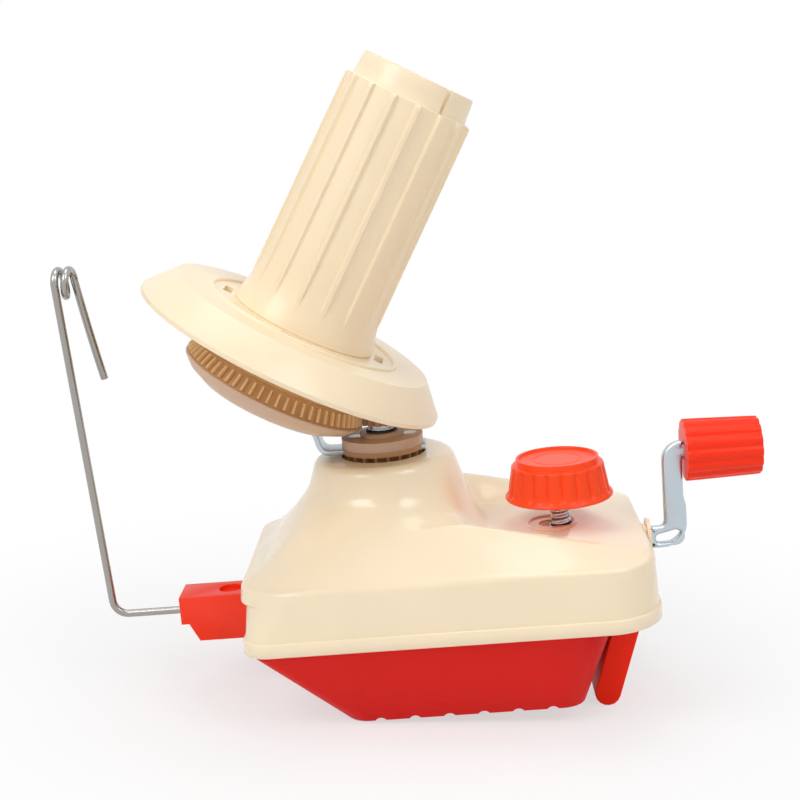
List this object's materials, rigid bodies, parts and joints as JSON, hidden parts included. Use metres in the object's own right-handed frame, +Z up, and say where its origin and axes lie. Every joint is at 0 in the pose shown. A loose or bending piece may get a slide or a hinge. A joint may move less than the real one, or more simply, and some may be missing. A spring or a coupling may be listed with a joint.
{
  "type": "yarn ball winder",
  "caption": "Hand-cranked yarn ball winder: geared casing with a table clamp, a wire yarn guide and a leaning ribbed winding tube on a flange that orbits and spins as the crank turns.",
  "frame": {"origin": "where the main upright axis meets the plane of the base's underside", "axes": "+X towards the crank, +Y away from the side with the clamp screw, +Z up along the main axis"},
  "size_m": [0.2651, 0.123, 0.2544],
  "materials": {
    "cream": "glossy moulded",
    "red": "glossy moulded",
    "tan": "satin moulded",
    "ochre": "satin moulded",
    "steel": "turned",
    "zinc": "zinc plated",
    "wire": "bright drawn wire",
    "black": "matt"
  },
  "bodies": {
    "frame": {"upper_casing": "cream", "lower_casing": "red", "casing_screws": "steel", "main_post": "steel", "post_nut": "steel", "post_spacer": "steel", "sun_pinion": "ochre", "retaining_washer": "black", "crank_bush_outer": "cream", "crank_bush_inner": "ochre", "clamp_bush": "ochre", "guide_holder": "red"},
    "carrier": {"carrier_gear": "ochre", "carrier_cap": "tan", "bobbin_bracket": "zinc", "carrier_screws": "steel", "bobbin_axle": "steel", "axle_washer": "steel", "axle_nut": "steel"},
    "bobbin": {"bobbin_gear": "ochre", "gear_cover": "tan", "flange_plate": "cream", "winding_tube": "cream", "bobbin_bush": "ochre", "bobbin_screws": "steel"},
    "crank": {"crank_shaft": "steel", "crown_gear": "tan", "crown_pin": "steel", "crank_arm": "zinc", "grip_pin": "steel"},
    "grip": {"crank_grip": "red"},
    "knob": {"clamp_knob": "red", "clamp_screw": "steel", "clamp_collar": "steel"},
    "jaw": {"clamp_jaw": "red", "clamp_nut": "steel"},
    "guide": {"yarn_guide_wire": "wire"}
  },
  "joints": [
    {"name": "carrier_orbit", "type": "hinge", "parent": "frame", "child": "carrier", "pos_m": [0, 0, 0], "axis": [0, 0, 1], "continuous": true},
    {"name": "crank_spin", "type": "hinge", "parent": "frame", "child": "crank", "pos_m": [0, 0, 0.052], "axis": [1, 0, 0], "continuous": true},
    {"name": "bobbin_spin", "type": "hinge", "parent": "carrier", "child": "bobbin", "pos_m": [0, 0, 0.19127], "axis": [0.5, 0, 0.866], "continuous": true},
    {"name": "grip_spin", "type": "hinge", "parent": "crank", "child": "grip", "pos_m": [0, 0, 0.086], "axis": [1, 0, 0], "continuous": true},
    {"name": "clamp_knob_turn", "type": "hinge", "parent": "frame", "child": "knob", "pos_m": [0.066, -0.0106, 0], "axis": [0, 0, 1], "range_deg": [0, 4320]},
    {"name": "clamp_jaw_slide", "type": "slide", "parent": "frame", "child": "jaw", "axis": [0, 0, 1], "range_m": [-0.0301, 0]},
    {"name": "guide_fold", "type": "hinge", "parent": "frame", "child": "guide", "pos_m": [0, 0, 0.0358], "axis": [1, 0, 0], "range_deg": [-90, 90]}
  ],
  "couplings": [
    {"joint": "crank_spin", "follows": "carrier_orbit", "ratio": -0.47619},
    {"joint": "bobbin_spin", "follows": "carrier_orbit", "ratio": 0.19697},
    {"joint": "clamp_jaw_slide", "follows": "clamp_knob_turn", "m_per_rad": -0.00039789}
  ]
}
